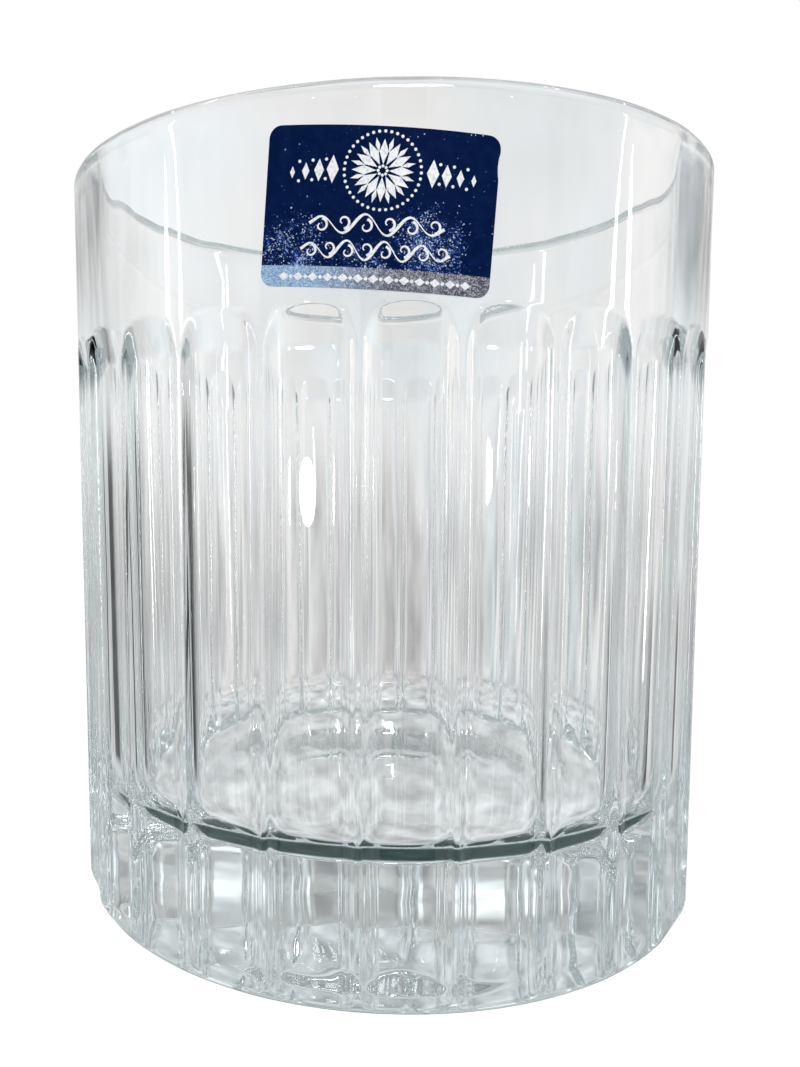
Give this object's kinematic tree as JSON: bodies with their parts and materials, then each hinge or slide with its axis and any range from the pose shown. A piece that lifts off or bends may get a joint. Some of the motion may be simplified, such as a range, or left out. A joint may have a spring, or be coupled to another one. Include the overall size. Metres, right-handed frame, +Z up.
{
  "type": "whiskey tumbler",
  "caption": "Straight-sided glass tumbler with a plain rim band, vertical flutes down to a thick base and a foil label near the rim.",
  "frame": {"origin": "centre of the foot, on the surface that the glass stands on", "axes": "+Z up along the glass's axis, -Y towards the front with the label, +X to the right of the label"},
  "size_m": [0.0824, 0.0826, 0.093],
  "materials": {
    "glass": "fire-polished clear crystal",
    "foil": "blue printed foil with a bright silver band",
    "adhesive": "clear pressure-sensitive glue"
  },
  "bodies": {
    "root": {"tumbler_body": "glass", "label_adhesive": "adhesive", "label_foil": "foil"}
  },
  "joints": []
}
